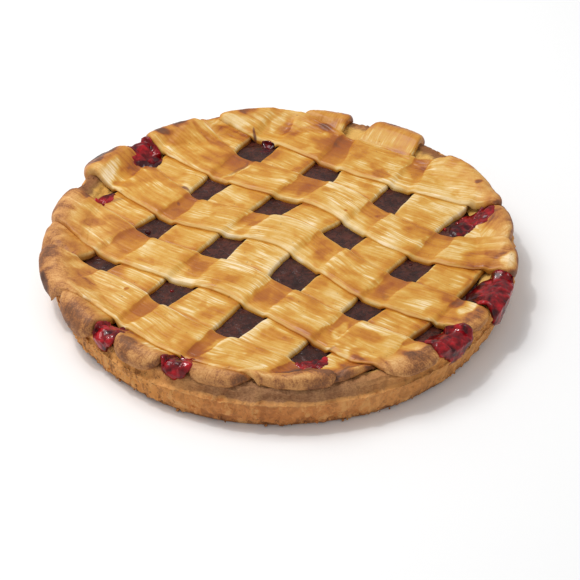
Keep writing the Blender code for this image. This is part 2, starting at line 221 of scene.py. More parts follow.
def squashed(x, y, how, over):
    # how thick a strip is, squashed where it crosses another, and otherwise on the rim
    inside, atRim = lattice[how], lattice[how + "OnRim"]
    share = inside + (atRim - inside) * onRim(x, y)
    return lattice["thickness"] * (1.0 - share * over(x, y))


def lowerThickness(x, y):
    return squashed(x, y, "pressed", upperCover)


def upperThickness(x, y):
    return squashed(x, y, "stretched", lowerCover)


def upperBed(x, y):
    return lowerBed(x, y) + lowerThickness(x, y) * lowerCover(x, y)


def groundTop(x, y):
    return np.maximum(crustTop(x, y), jamTop(x, y))


def tartTop(x, y):
    run = 1.2 * mm
    lower = lowerBed(x, y) + lowerThickness(x, y)
    upper = upperBed(x, y) + upperThickness(x, y)
    top = groundTop(x, y)
    top = top + np.maximum(lower - top, 0.0) * lowerCover(x, y, run)
    return top + np.maximum(upper - top, 0.0) * upperCover(x, y, run)


def endReach(strip, side):
    # where the centre line ends, as a distance along it
    radius = float(endRadius(strip, side))
    s = side * radius
    for _ in range(5):
        centre = float(spline(np.array(s), strip["line"]))
        s = side * math.sqrt(max(radius ** 2 - centre ** 2, 0.0))
    return s


def endTurn(strip, reach, t):
    # how much further than its centre line a line along the strip goes, so that the end follows the rim
    keep = 1.0 - lattice["endTaper"]
    off = spline(reach, strip["line"]) + t * halfWidth(strip, reach) * keep
    pull = lattice["cornerPull"] * t ** 4 * (1.0 - smooth(*lattice["cornerLimits"], np.abs(off)))
    radius = endRadius(strip, reach) - pull
    return np.sqrt(np.maximum(radius ** 2 - off ** 2, 0.0)) - np.abs(reach)


# Nodes and meshes

class Wire:
    # the output of a node, which can be reckoned with
    def __init__(self, socket):
        self.socket = socket

    def __add__(self, other):
        return calc("ADD", self, other)

    def __radd__(self, other):
        return calc("ADD", other, self)

    def __sub__(self, other):
        return calc("SUBTRACT", self, other)

    def __rsub__(self, other):
        return calc("SUBTRACT", other, self)

    def __mul__(self, other):
        return calc("MULTIPLY", self, other)

    def __truediv__(self, other):
        return calc("DIVIDE", self, other)

    def __abs__(self):
        return calc("ABSOLUTE", self)


def setInputs(tree, node, inputs):
    for key, value in inputs.items():
        if isinstance(value, Wire):
            tree.links.new(value.socket, node.inputs[key])
        else:
            node.inputs[key].default_value = value


def addNode(tree, kind, inputs=None, **settings):
    made = tree.nodes.new(kind)
    for name, value in settings.items():
        setattr(made, name, value)
    setInputs(tree, made, inputs or {})
    return made


def source(tree, kind, output=0, **settings):
    # a node that needs no other, such as a position
    return Wire(addNode(tree, kind, **settings).outputs[output])


def after(kind, inputs, output=0, **settings):
    # a node in the tree of the wires that it takes
    tree = next(value.socket.id_data for value in inputs.values() if isinstance(value, Wire))
    return Wire(addNode(tree, kind, inputs, **settings).outputs[output])


def calc(operation, *values, clamp=False):
    return after("ShaderNodeMath", dict(enumerate(values)), operation=operation, use_clamp=clamp)


def vectorCalc(operation, *values):
    return after("ShaderNodeVectorMath", dict(enumerate(values)), operation=operation)


def apart(place):
    node = addNode(place.socket.id_data, "ShaderNodeSeparateXYZ", {0: place})
    return [Wire(socket) for socket in node.outputs]


def together(x, y, z):
    return after("ShaderNodeCombineXYZ", {"X": x, "Y": y, "Z": z})


def scaled(value, low, high, newLow=0.0, newHigh=1.0):
    inputs = {"Value": value, "From Min": low, "From Max": high, "To Min": newLow, "To Max": newHigh}
    return after("ShaderNodeMapRange", inputs, "Result", interpolation_type="SMOOTHSTEP")


def noise(place, scale, detail=2.0, roughness=0.5, distortion=0.0):
    names = ("Vector", "Scale", "Detail", "Roughness", "Distortion")
    return after("ShaderNodeTexNoise", dict(zip(names, (place, scale, detail, roughness, distortion))))


def mixColour(share, a, b):
    b = b if isinstance(b, Wire) else (*b, 1.0)
    return after("ShaderNodeMix", {0: share, 6: a, 7: b}, 2, data_type="RGBA")


def layered(colour, *coats):
    for share, coat in coats:
        colour = mixColour(share, colour, coat)
    return colour


def ramp(value, stops):
    made = addNode(value.socket.id_data, "ShaderNodeValToRGB", {0: value})
    places = made.color_ramp.elements
    while len(places) < len(stops):
        places.new(1.0)
    for place, (position, colour) in zip(places, stops):
        place.position = position
        place.color = (*colour, 1.0)
    return Wire(made.outputs[0])


def readAttribute(tree, name, kind="FLOAT"):
    # the same call serves a material and a geometry tree
    if tree.type == "SHADER":
        output = "Fac" if kind == "FLOAT" else "Vector"
        return source(tree, "ShaderNodeAttribute", output, attribute_name=name)
    return Wire(addNode(tree, "GeometryNodeInputNamedAttribute", {"Name": name}, data_type=kind).outputs[0])


def newMesh(name, points, faces, attributes=None):
    mesh = bpy.data.meshes.new(name)
    mesh.from_pydata(points.tolist(), [], faces)
    for key, values in (attributes or {}).items():
        values = np.ascontiguousarray(values, np.float32)
        kind = "FLOAT_VECTOR" if values.ndim == 2 else "FLOAT"
        made = mesh.attributes.new(key, kind, "POINT")
        made.data.foreach_set("vector" if values.ndim == 2 else "value", values.ravel())
    mesh.validate()
    return mesh


def addObject(name, mesh):
    made = bpy.data.objects.new(name, mesh)
    bpy.context.scene.collection.objects.link(made)
    return made


def faceList(*columns):
    return np.column_stack(columns).tolist()


def gridFaces(n):
    # the quads of a square grid of n by n points
    i = np.arange(n * n).reshape(n, n)[:-1, :-1].ravel()
    return faceList(i, i + n, i + n + 1, i + 1)


def facedOut(mesh):
    bm = bmesh.new()
    bm.from_mesh(mesh)
    bmesh.ops.recalc_face_normals(bm, faces=list(bm.faces))
    bm.to_mesh(mesh)
    bm.free()
    mesh.shade_smooth()


def newTree(name, sizes, **others):
    # a geometry tree with a number for each of the sizes, and other inputs by their kinds
    tree = bpy.data.node_groups.new(name, "GeometryNodeTree")
    kinds = {"Geometry": "Geometry", **dict.fromkeys(sizes, "Float"), **others}
    for label, kind in kinds.items():
        tree.interface.new_socket(label, in_out="INPUT", socket_type="NodeSocket" + kind)
    tree.interface.new_socket("Geometry", in_out="OUTPUT", socket_type="NodeSocketGeometry")
    outputs = addNode(tree, "NodeGroupInput").outputs
    return tree, {label: Wire(outputs[label]) for label in kinds}


def shapeOf(guide):
    return after("GeometryNodeObjectInfo", {"Object": guide}, "Geometry", transform_space="ORIGINAL")


def pushed(shape, amount):
    # a surface moved along its normals
    normal = source(shape.socket.id_data, "GeometryNodeInputNormal")
    offset = after("ShaderNodeVectorMath", {0: normal, "Scale": amount}, operation="SCALE")
    return after("GeometryNodeSetPosition", {"Geometry": shape, "Offset": offset})


def endTree(tree, shape, finish):
    real = after("GeometryNodeRealizeInstances", {"Geometry": shape})
    done = after("GeometryNodeSetMaterial", {"Geometry": real, "Material": finish})
    addNode(tree, "NodeGroupOutput", {"Geometry": done})
    return tree


def runTree(piece, tree, values):
    live = piece.modifiers.new(tree.name, "NODES")
    live.node_group = tree
    for item in tree.interface.items_tree:
        if item.item_type == "SOCKET" and item.in_out == "INPUT" and item.name in values:
            live[item.identifier] = values[item.name]
    graph = bpy.context.evaluated_depsgraph_get()
    made = bpy.data.meshes.new_from_object(piece.evaluated_get(graph))
    piece.modifiers.remove(live)
    piece.data = made
    return piece


def place(piece, slot, *nodes):
    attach(piece, "root")
    if nodes:
        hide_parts(*nodes)
    print("made", piece.name, len(piece.data.polygons), "faces")


# Brush strokes, shared by the relief and the colour of the egg wash

strokes = {
    "length": 15.0 * mm,
    "width": 1.1 * mm,
    "wander": 4.0 * mm,
    "wanderRun": 38.0 * mm,
    "sweepLength": 30.0 * mm,
    "sweepWidth": 6.5 * mm,
}


def brushStrokes(tree):
    brush = readAttribute(tree, "brush", "FLOAT_VECTOR")
    drift = (noise(brush, 1.0 / strokes["wanderRun"], 1.0) - 0.5) * (2.0 * strokes["wander"])
    moved = vectorCalc("ADD", brush, together(0.0, drift, 0.0))
    fine, broad = (
        vectorCalc("MULTIPLY", moved, (1.0 / strokes[length], 1.0 / strokes[width], 1.0 / strokes[width]))
        for length, width in (("length", "width"), ("sweepLength", "sweepWidth")))
    return noise(fine, 1.0, 1.5, 0.55), noise(broad, 1.0, 2.0, 0.6, 0.3)


# Finishes: each pattern is a scale, detail, roughness and distortion, each ramp a row of places and colours

def newMaterial(name):
    made = bpy.data.materials.new(name)
    made.use_nodes = True
    return made


def objectPlace(made):
    return source(made.node_tree, "ShaderNodeTexCoord", "Object")


def patterns(spot, look):
    return [noise(spot, *setting) for setting in look["patterns"].values()]


def dress(made, colour, relief, strength, depth, **values):
    tree = made.node_tree
    bump = after("ShaderNodeBump", {"Strength": strength, "Distance": depth, "Height": relief})
    names = {"rough": "Roughness", "specular": "Specular IOR Level", "coat": "Coat Weight",
             "coatRough": "Coat Roughness"}
    inputs = {names[key]: value for key, value in values.items()}
    setInputs(tree, tree.nodes["Principled BSDF"], {"Base Color": colour, "Normal": bump, **inputs})
    return made


washedLook = {
    "patterns": {
        "cloud": (42.0, 3.0, 0.55),
        "blotch": (85.0, 2.0, 0.5, 0.4),
        "mottle": (420.0, 3.0, 0.65),
        "grit": (1100.0, 2.0, 0.7),
        "patchy": (58.0, 2.0, 0.5),
        "toast": (170.0, 4.0, 0.7, 0.6),
        "speck": (620.0, 1.0, 0.5),
    },
    # cream, pale, golden, amber, deep, orange, brown and nearly black
    "washed": (
        (0.0, (0.81, 0.64, 0.41)), (0.18, (0.71, 0.505, 0.215)), (0.38, (0.60, 0.330, 0.058)),
        (0.54, (0.525, 0.220, 0.018)), (0.68, (0.43, 0.146, 0.009)), (0.80, (0.31, 0.078, 0.008)),
        (0.90, (0.150, 0.050, 0.018)), (1.0, (0.055, 0.021, 0.011))),
    # cream, sand, tan, bark and nearly black
    "sandy": (
        (0.0, (0.84, 0.64, 0.39)), (0.34, (0.67, 0.38, 0.15)), (0.58, (0.53, 0.245, 0.076)),
        (0.84, (0.28, 0.104, 0.031)), (1.0, (0.075, 0.028, 0.014))),
    "dough": ((0.3, (0.62, 0.42, 0.20)), (0.7, (0.78, 0.60, 0.34))),
    "soaked": ((0.3, (0.085, 0.020, 0.010)), (0.7, (0.22, 0.060, 0.022))),
    "speck": (0.14, 0.05, 0.018),
}


def eggWashedCrust():
    made = newMaterial("egg_washed_crust")
    stroke, sweep = brushStrokes(made.node_tree)
    names = ("bake", "most", "wash", "cut", "sand", "stain", "flat")
    bake, most, wash, cut, sand, stain, flat = (readAttribute(made.node_tree, name) for name in names)
    cloud, blotch, mottle, grit, patchy, toast, speck = patterns(objectPlace(made), washedLook)
    # pools of wash dry in patches with a clear edge
    pool = scaled(blotch, 0.55, 0.62)
    tone = bake + (cloud - 0.5) * 0.60 + (blotch - 0.5) * 0.16 + (sweep - 0.5) * 0.44 + pool * flat * 0.05
    # the brush left pale lines where little wash stayed, painted paler still as a highlight on their raised
    # ridges, and fine dark ones
    often = wash * scaled(patchy, 0.40, 0.56, 0.3, 1.0) * scaled(tone, 0.34, 0.56, 1.0, 0.08)
    paleAndHighlight = scaled(stroke, 0.44, 0.66) * often
    line = scaled(stroke, 0.47, 0.30) * (sand * 0.09 + 0.06)
    tone = tone - paleAndHighlight * 0.29 + line * flat + (mottle - 0.5) * 0.16
    # dry dough is grainy and toasts in spots
    tone = tone + sand * (grit - 0.5) * 0.7 + sand * (toast - 0.5) * 0.75
    tone = tone - calc("MAXIMUM", tone - most, 0.0) * 0.65
    washed, sandy = (ramp(tone, washedLook[key]) for key in ("washed", "sandy"))
    dough, soaked = (ramp(mottle, washedLook[key]) for key in ("dough", "soaked"))
    specks = (scaled(speck, 0.74, 0.79) * 0.6, washedLook["speck"])
    colour = layered(washed, (sand, sandy), (cut * 0.5, dough), (stain, soaked), specks)
    rough = scaled(tone, 0.2, 0.7, 0.58, 0.38) + calc("MAXIMUM", cut, sand) * 0.28
    relief = stroke * flat * 0.35 + grit * 0.3 + mottle * sand * 0.9
    return dress(made, colour, relief, 0.5, 0.25 * mm, rough=rough, specular=0.38)


sideLook = {
    "patterns": {"wobble": (60.0, 3.0, 0.6), "cloud": (45.0, 4.0, 0.65), "crumb": (380.0, 4.0, 0.75)},
    "tin": ((0.25, (0.38, 0.125, 0.030)), (0.5, (0.54, 0.200, 0.052)), (0.75, (0.66, 0.290, 0.088))),
    "light": ((0.3, (0.58, 0.245, 0.060)), (0.7, (0.70, 0.350, 0.108))),
    "warmAndLit": ((0.3, (0.60, 0.225, 0.048)), (0.7, (0.80, 0.375, 0.092))),
    "shadedBand": ((0.3, (0.23, 0.098, 0.040)), (0.7, (0.46, 0.230, 0.102))),
    "yolk": ((0.3, (0.58, 0.30, 0.055)), (0.7, (0.78, 0.50, 0.15))),
    "ridge": (0.68, 0.33, 0.10),
    "foot": (0.26, 0.105, 0.034),
    "rim": (0.17, 0.062, 0.024),
    "shadedPit": (0.17, 0.058, 0.019),
    "dot": (0.10, 0.036, 0.014),
    "crumb": (0.70, 0.38, 0.13),
}


def bakedSide():
    made = newMaterial("baked_side")
    spot = objectPlace(made)
    x, y, z = apart(spot)
    wobble, cloud, crumb = patterns(spot, sideLook)
    flake = noise(vectorCalc("MULTIPLY", spot, (1.0, 1.0, 0.55)), 170.0, 4.0, 0.7, 0.5)
    grain = noise(vectorCalc("MULTIPLY", spot, (1.0, 1.0, 3.0)), 700.0, 3.0, 0.7)
    height = (wobble - 0.5) * (2.0 * mm) + z
    # the side is more orange and painted brighter towards the left, against the shade there, and painted
    # lighter towards the right, where it is lit: partly painted light
    left = scaled(x, -25.0 * mm, -85.0 * mm)
    right = scaled(x, 20.0 * mm, 90.0 * mm)
    tin, light, warmAndLit, yolk = (ramp(cloud, sideLook[key]) for key in ("tin", "light", "warmAndLit", "yolk"))
    # above the ridge a darker grey-brown band, partly painted shade, gives way towards the left and right
    shadedBand = mixColour(calc("MAXIMUM", left, right) * 0.85, ramp(grain, sideLook["shadedBand"]), warmAndLit)
    overRidge = scaled(height, 17.2 * mm, 18.4 * mm)
    # the ridge itself is painted lighter and the foot darker
    ridge = scaled(abs(height - 17.9 * mm), 0.3 * mm, 0.9 * mm, 1.0, 0.0) * 0.7
    foot = scaled(height, 1.0 * mm, 4.5 * mm, 1.0, 0.0) * 0.7
    inner = readAttribute(made.node_tree, "inner")
    # the rim is browned at the back and left
    back = calc("MAXIMUM", left, scaled(y, -10.0 * mm, 50.0 * mm))
    rim = scaled(height, 23.6 * mm, 25.0 * mm) * (back * 0.7 + 0.15)
    # pits in the hollows of the flaky bump are painted darker as shade, with dark dots of crumb, most of all
    # low down and on the left, and the bump's crests are painted lighter in crumb colour, as highlight
    often = calc("MAXIMUM", left, scaled(height, 2.0 * mm, 10.0 * mm, 1.0, 0.45)) * (1.0 - inner)
    pitShade, dots = scaled(flake, 0.50, 0.41) * often * 0.62, scaled(crumb, 0.57, 0.63) * often * 0.75
    lights = scaled(flake, 0.53, 0.62) * (1.0 - overRidge * 0.8) * 0.55
    colour = layered(
        tin, (right * 0.6, light), (left * 0.8, warmAndLit), (overRidge, shadedBand), (ridge, sideLook["ridge"]),
        (foot, sideLook["foot"]), (inner, yolk), (rim, sideLook["rim"]), (pitShade, sideLook["shadedPit"]),
        (dots, sideLook["dot"]), (lights, sideLook["crumb"]))
    relief = flake * 1.6 + crumb + grain * 0.4
    return dress(made, colour, relief, 0.8, 0.6 * mm, rough=0.75, specular=0.3)


skinLook = {
    "patterns": {"cloud": (110.0, 3.0, 0.6), "fold": (300.0, 3.0, 0.6, 1.2)},
    "skin": ((0.35, (0.030, 0.006, 0.004)), (0.65, (0.082, 0.020, 0.012))),
    "fold": (0.018, 0.005, 0.004),
    "damp": (0.085, 0.004, 0.006),
}
wetLook = {
    "patterns": {"pulp": (150.0, 2.0, 0.5), "seeds": (420.0, 2.0, 0.6)},
    "jam": ((0.3, (0.035, 0.001, 0.003)), (0.5, (0.17, 0.002, 0.005)), (0.72, (0.40, 0.006, 0.012))),
}


def jamSkin():
    made = newMaterial("raspberry_jam_skin")
    wet = readAttribute(made.node_tree, "wet")
    cloud, fold = patterns(objectPlace(made), skinLook)
    # the hollows of the folds, the same pattern that makes the bump, are painted darker as shade
    foldShade = scaled(fold, 0.52, 0.42) * 0.7
    colour = layered(ramp(cloud, skinLook["skin"]), (foldShade, skinLook["fold"]), (wet, skinLook["damp"]))
    return dress(made, colour, fold, 0.7, 0.6 * mm, rough=scaled(wet, 0.0, 1.0, 0.26, 0.12), specular=0.28)


def wetJam():
    made = newMaterial("raspberry_jam_wet")
    pulp, seeds = patterns(objectPlace(made), wetLook)
    tone = (seeds - 0.5) * 0.5 + pulp
    colour = ramp(tone - readAttribute(made.node_tree, "dark") * 0.26, wetLook["jam"])
    return dress(made, colour, tone, 0.45, 0.8 * mm, rough=0.3, specular=0.08, coat=0.45, coatRough=0.06)


washedCrust = eggWashedCrust()
sideCrust = bakedSide()
skinFinish = jamSkin()
wetFinish = wetJam()
print("materials ready")


# Lattice

stripShape = {
    "sideRound": 2.3 * mm,
    "sideDrop": 0.38,  # of the thickness
    "overDrop": 0.48,  # more where it crosses another
    "endRound": 6.0 * mm,
    "endDrop": 0.62,
    "thinnest": 0.15,
    "bulge": 0.4 * mm,
    "flare": 1.0 * mm,  # the dough spreads a little where it meets the jam
    "flareRun": (96.0 * mm, 108.0 * mm),
    "puffRun": (116.0 * mm, 130.0 * mm),
    "skirt": 2.6 * mm,  # how far an end is pressed down over the rim
    "skirtRun": (130.0 * mm, 136.0 * mm),
    "skirtFront": (-80.0 * mm, -115.0 * mm),  # less so at the front
    "crossRun": 2.5 * mm,
    "brushTurn": 116.0 * mm,  # the brush went over the inner part after the upper strips were on
    "walls": 5,
    "edgeCrowding": 0.45,
    "under": 6,
    "uneven": 0.45 * mm,  # of the sides
    "wobbles": ((41.0 * mm, 0.45), (23.0 * mm, 0.3), (12.5 * mm, 0.25)),
    "relief": {"Dent": 0.5 * mm, "Ripple": 0.16 * mm, "Groove": 0.36 * mm},
}

# How brown the strips baked: amounts, and the ramps that bring each in, over x, y, radius in mm or a share
browning = {
    "all over": (0.388,),
    "at the back": (0.08, ("y", 55, 85)),
    "right front": (0.07, ("x", 30, 70), ("y", 0, -50)),
    "left": (0.06, ("x", 10, -100)),
    "near the rim": (0.06, ("r", 112, 130)),
    "over the rim": (0.12, ("r", 128, 139)),
    "front rim": (0.06, ("r", 118, 130), ("y", -60, -105)),
    "ends": (0.05, ("end", 0.4, 0.9)),
    "back ends": (0.10, ("end", 0.5, 0.9), ("y", 10, 70)),
    "right ends": (0.26, ("end", 0.45, 0.9), ("x", 70, 110), ("y", -70, -30)),
    "front ends": (0.22, ("end", 0.25, 0.8), ("y", -60, -105), ("x", -20, 0), ("x", 65, 50)),
    "sides": (-0.09, ("edge", 0.45, 0.85)),
    "walls": (0.22, ("wall", 0.1, 0.5), ("r", 122, 108)),
}
# Patches that baked darker (+) or paler (-), and one painted shadow: x, y, half length, half width in mm,
# turn in degrees, strength
bakeAndShadowMarks = (
    (-22, 137, 26, 4, 6, 0.35), (-44, 128, 5, 4, 0, 0.25), (-24, 129, 7, 4, 0, 0.25),
    (-32, 120, 15, 4, 0, -0.22), (-3, 120, 8, 3, 60, -0.2), (-30, 110, 12, 6, -34, 0.18),
    (-62, 120, 9, 6, 40, 0.42), (-76, 106, 6, 4, 0, 0.28), (-63, 112, 6, 3, 0, 0.22),
    (-75, 97, 12, 4, -34, -0.2), (-40, 99, 27, 3.2, -46, 0.2), (-60, 99, 8, 5, 0, 0.16),
    (-38, 82, 14, 8, -34, 0.2), (-28, 70, 13, 1.6, 48, -0.3), (-66, 66, 12, 10, 0, -0.08),
    (-58, 55, 6, 4, 0, 0.12), (-108, 87, 9, 7, 50, 0.36), (-113, 80, 5, 4, 0, 0.26),
    (-115, 72, 5, 3, 0, 0.26), (-104, 65, 10, 4, 80, -0.25), (-95, 68, 7, 5, 0, 0.16),
    (-97, 56, 6, 4, 0, 0.16), (-85, 62, 9, 5, -34, 0.2), (-77, 65, 27, 3, -49, 0.2),
    (-61, 34, 1.4, 1.2, 0, 0.5), (-130, 46, 8, 4, 70, 0.25), (-129, 25, 7, 5, 0, 0.16),
    (-112, 14, 8, 5, 0, 0.16), (-100, 16, 10, 7, -34, 0.22), (-20, 12, 9, 3.5, 53, 0.2),
    (-132, -22, 9, 9, 0, 0.2), (-116, -25, 5, 4, 0, -0.25), (-135, -40, 9, 3, -59, 0.55),
    (-110, -44, 9, 5, -34, 0.18), (-85, -48, 1.8, 1.6, 0, 0.45), (-80, -68, 12, 6, 50, 0.24),
    # on the next line, the patch at -68, -113 is a painted shadow at the front end of a strip
    (-112, -73, 18, 6, -46, 0.22), (-79, -100, 11, 5, -29, 0.28), (-68, -113, 5, 2.5, 0, 0.3),
    (-34, -120, 18, 7, -20, 0.04), (-48, -94, 12, 6, -34, 0.2), (-35, -93, 7, 2.5, 40, -0.3),
    (-48, -27, 9, 4, 53, 0.24), (-10, -52, 9, 4, 53, 0.24), (-40, -66, 7, 5, 0, 0.18),
    (-5, -85, 8, 5, 0, 0.2), (42, 125, 6, 8, 0, 0.32), (46, 117, 4, 4, 0, 0.35),
    (22, 114, 20, 3.5, 15, 0.22), (32, 98, 16, 9, -20, 0.26), (20, 91, 6, 3, 0, -0.25),
    (37, 72, 7, 3, -34, -0.25), (82, 115, 12, 4, -50, 0.32), (70, 117, 8, 2.5, -10, 0.18),
    (62, 64, 8, 3.5, -45, 0.26), (77, 66, 10, 3, -70, -0.12), (92, 88, 8, 3, -50, -0.3),
    (118, 72, 9, 3, -60, 0.22), (118, 50, 3, 1.2, 40, 0.4), (103, 45, 4, 3, 0, 0.14),
    (137, 25, 18, 2.5, 90, 0.32), (125, 25, 4, 3, 0, 0.22), (130, 30, 12, 6, 80, -0.2),
    (80, 5, 9, 7, 0, 0.22), (68, 9, 10, 4, 0, 0.12), (28, 43, 18, 9, -34, 0.13), (12, 49, 8, 3, 50, 0.2),
    (38, 25, 1.4, 1.2, 0, 0.5), (56, 23, 1.3, 1.1, 0, 0.4), (27, 19, 5, 4, 0, 0.18),
    (45, 60, 12, 3.5, -34, 0.16), (22, -13, 9, 4.5, 53, 0.26), (57, -46, 9, 4, 53, 0.28),
    (20, -42, 7, 5, 0, 0.16), (0, -55, 6, 5, 0, 0.16), (30, -72, 12, 4, -34, 0.16),
    (32, -81, 8, 3.5, 45, -0.45), (42, -85, 16, 6, -20, 0.2), (50, -83, 10, 1.5, -25, -0.2),
    (85, -52, 16, 6, -15, 0.16), (93, -60, 8, 4, 0, 0.2), (102, -62, 8, 4.5, 50, -0.45),
    (92, -74, 7, 3.5, -10, 0.24), (108, -69, 11, 4.5, 45, 0.22), (118, -17, 14, 3, -10, 0.24),
    (130, -15, 5, 4, 0, 0.3), (130, -25, 8, 5, 60, -0.35), (105, -40, 6, 3, 60, 0.18),
    (75, -103, 12, 5, 30, 0.34), (71, -97, 7, 4, 20, -0.35), (42, -103, 6, 6, 0, 0.26),
    (12, -119, 24, 8, 4, 0.43), (42, -111, 13, 7, 0, 0.56), (-130, -30, 11, 12, 0, 0.12),
    (-17, -116, 9, 3, 20, -0.22), (116, -21, 13, 11, 0, 0.20), (129, 24, 10, 25, -15, 0.15),
    (-54, 105, 13, 9, -34, 0.08), (30, -97, 5, 3, 0, 0.18), (48, -108, 10, 3, -60, -0.3),
    (12, -118, 14, 4, -15, 0.26),
)
# Where jam stained the crust, listed the same way
jamStains = (
    (-17.5, 111, 4, 1.2, 80, 0.9), (-27, 73, 11, 0.9, 52, 0.6), (-60, 51, 4, 1.5, -20, 0.9),
    (-12, 84, 7, 2, -34, 0.35), (-63, 30, 2, 1, 0, 0.3), (83, -110, 6, 2.5, -60, 0.6),
    (100, -98, 5, 3, 0, 0.35), (25, -98, 5, 1.5, 50, 0.45), (-100, 40, 5, 2, 40, 0.4),
    (58, -52, 3, 1.2, 0, 0.3),
)


def marked(marks, x, y):
    # the strengths of the marks at each point, with ragged edges
    total = np.zeros_like(x)
    x = x + 1.3 * mm * np.sin(y / (4.3 * mm)) + 0.8 * mm * np.sin(x / (2.1 * mm) + y / (3.4 * mm))
    y = y + 1.3 * mm * np.sin(x / (3.9 * mm) + 1.0) + 0.8 * mm * np.sin(y / (2.3 * mm) - x / (3.1 * mm))
    for markX, markY, halfLong, halfWide, turn, strength in marks:
        d = unit(math.radians(turn))
        dx, dy = x - markX * mm, y - markY * mm
        a = (dx * d[0] + dy * d[1]) / (halfLong * mm)
        b = (dy * d[0] - dx * d[1]) / (halfWide * mm)
        total += strength * (1.0 - smooth(0.6, 1.25, np.hypot(a, b)))
    return total


def bedGuide(name, height, step=0.6 * mm, reach=144 * mm):
    # a fine copy of what a layer lies on, which only the strips' tree reads
    line = np.arange(-reach, reach + step / 2, step)
    n = len(line)
    x, y = (grid.ravel() for grid in np.meshgrid(line, line, indexing="ij"))
    return addObject(name, newMesh(name, np.column_stack((x, y, height(x, y))), gridFaces(n)))


def crowded(u):
    # lines that lie closer together towards the edges
    share = stripShape["edgeCrowding"]
    return (1.0 - share) * u + share * np.sin(u * math.pi / 2)


def sheetFaces(rows, columns, under):
    # top quads, then the underside, which has fewer columns, and a cap at each end
    index = np.arange(rows * columns).reshape(rows, columns)
    a = index[:-1, :-1].ravel()
    faces = faceList(a, a + 1, a + columns + 1, a + columns)
    below = rows * columns + np.arange((rows - 2) * under).reshape(rows - 2, under)
    below = np.column_stack((index[1:-1, 0], below, index[1:-1, -1]))
    for near, far in zip(below, below[1:]):
        faces += faceList(near[:-1], far[:-1], far[1:], near[1:])
    faces.append(index[0, ::-1].tolist() + below[0].tolist())
    faces.append(index[-1].tolist() + below[-1, ::-1].tolist())
    return faces


def stripGrid(cells):
    # each point's place along and across (-1 to 1), how far down the wall it lies, and whether on the sheet
    long, wide = cells
    walls, under = stripShape["walls"], stripShape["under"]
    lines = [np.arange(-n - walls, n + walls + 1.0) for n in cells]
    u0, v0 = np.meshgrid(*lines, indexing="ij")
    depth = np.minimum(long + walls - np.abs(u0), wide + walls - np.abs(v0))
    wall = np.maximum(walls - depth, 0.0)
    u, v = u0 / (long + wall), v0 / (wide + wall)
    atEnd = (np.abs(u) >= 1.0) * 1.0
    rows, columns = u.shape
    u, v = crowded(u), crowded(v)
    below = (rows - 2, under)
    line = np.linspace(-1.0, 1.0, under + 2)[1:-1]
    pairs = ((u, u[1:-1, :1]), (v, line), (wall / walls, 1.0), (wall * 0.0 + 1.0, 0.0), (atEnd, 0.0))
    values = [np.append(top.ravel(), np.broadcast_to(value, below).ravel()) for top, value in pairs]
    return values + [sheetFaces(rows, columns, under)]


def fall(distance, round):
    # 0 on the flat, 1 where an edge has rounded off
    return np.clip((round - distance) / (round + stripShape["bulge"]), 0, 1)


def stripMesh(name, strip, layer, seed):
    shape, upper = stripShape, layer["upper"]
    start, end = endReach(strip, -1), endReach(strip, 1)
    u, t, w, sheet, atEnd, faces = stripGrid(layer["cells"])
    s = start + (end - start) * (u + 1.0) / 2.0
    fromEnd = np.minimum(s - start, end - s)
    taper = lattice["endTaper"] * (1.0 - smooth(0.0, lattice["taperRun"], fromEnd))
    half = halfWidth(strip, s) * (1.0 - taper)
    wobble = np.zeros_like(s)
    for run, share in shape["wobbles"]:
        leftPhase, rightPhase = random.uniform(0, fullTurn, 2)
        wobble += share * np.sin(s / run * fullTurn + np.where(t < 0, leftPhase, rightPhase))
    half = half + shape["uneven"] * wobble * smooth(0.2, 1.0, np.abs(t))
    out = shape["bulge"] * np.sin(math.pi * w ** 0.8) * (w < 1.0)
    flaring = sheet * (np.abs(t) > 0.99) * (1.0 - smooth(*shape["flareRun"], np.abs(s)))
    out = out + shape["flare"] * w * flaring
    off = spline(s, strip["line"]) + t * (half + out)
    turn = endTurn(strip, np.where(s < 0.0, start, end), t)
    turn = turn * (1.0 - smooth(0.0, lattice["skewRun"], fromEnd))
    along = s + np.sign(s) * (turn + out * atEnd)
    d = unit(layer["angle"])
    x, y = along * d[0] + off * d[1], along * d[1] - off * d[0]
    r, rim = np.hypot(x, y), onRim(x, y)
    # height over the bed
    crossed = layer["other"](x, y, shape["crossRun"])
    puff = np.where(s < 0.0, *strip["puff"]) * mm * smooth(*shape["puffRun"], r)
    thick = layer["thickness"](x, y) + puff * (1.0 if upper else 1.0 - crossed)
    sideFall, endFall = fall((1.0 - np.abs(t)) * half, shape["sideRound"]), fall(fromEnd, shape["endRound"])
    sideDrop = shape["sideDrop"] + shape["overDrop"] * crossed * (1.0 - rim) * upper
    drop = sideDrop * (1.0 - np.sqrt(1.0 - sideFall ** 2))
    drop = drop + shape["endDrop"] * (1.0 - np.sqrt(1.0 - endFall ** 2))
    lift = thick * np.maximum(1.0 - drop, shape["thinnest"])
    overRim = smooth(*shape["skirtRun"], r + tuck(np.arctan2(y, x)))
    skirt = shape["skirt"] * overRim * (1.0 - 0.6 * smooth(*shape["skirtFront"], y))
    lift = lift * (1.0 - w) - (skirt + lattice["sink"]) * w
    # where the brush went: along the strip, but over the lower ones along the upper ones
    across = spline(np.array(0.0), strip["line"]) + t * half
    brush = np.column_stack((s, across, np.full_like(s, seed * 0.1)))
    if not upper:
        swept = np.column_stack((*alongAndOff(lattice["upperAngle"], x, y), brush[:, 2]))
        brush = np.where(r[:, None] > shape["brushTurn"], brush, swept)
    places = {"x": x / mm, "y": y / mm, "r": r / mm, "rim": rim, "side": sideFall, "end": endFall,
              "edge": np.abs(t), "wall": w}
    attributes = bakedStrip(places, s, t, crossed, seed, layer)
    skin = (1.0 - smooth(0.0, 0.8, w)) * (1.0 - 0.6 * smooth(0.3, 0.9, np.maximum(sideFall, endFall)))
    attributes.update({"lift": lift, "skin": skin, "brush": brush})
    return newMesh(name, np.column_stack((x, y, np.zeros_like(x))), faces, attributes)


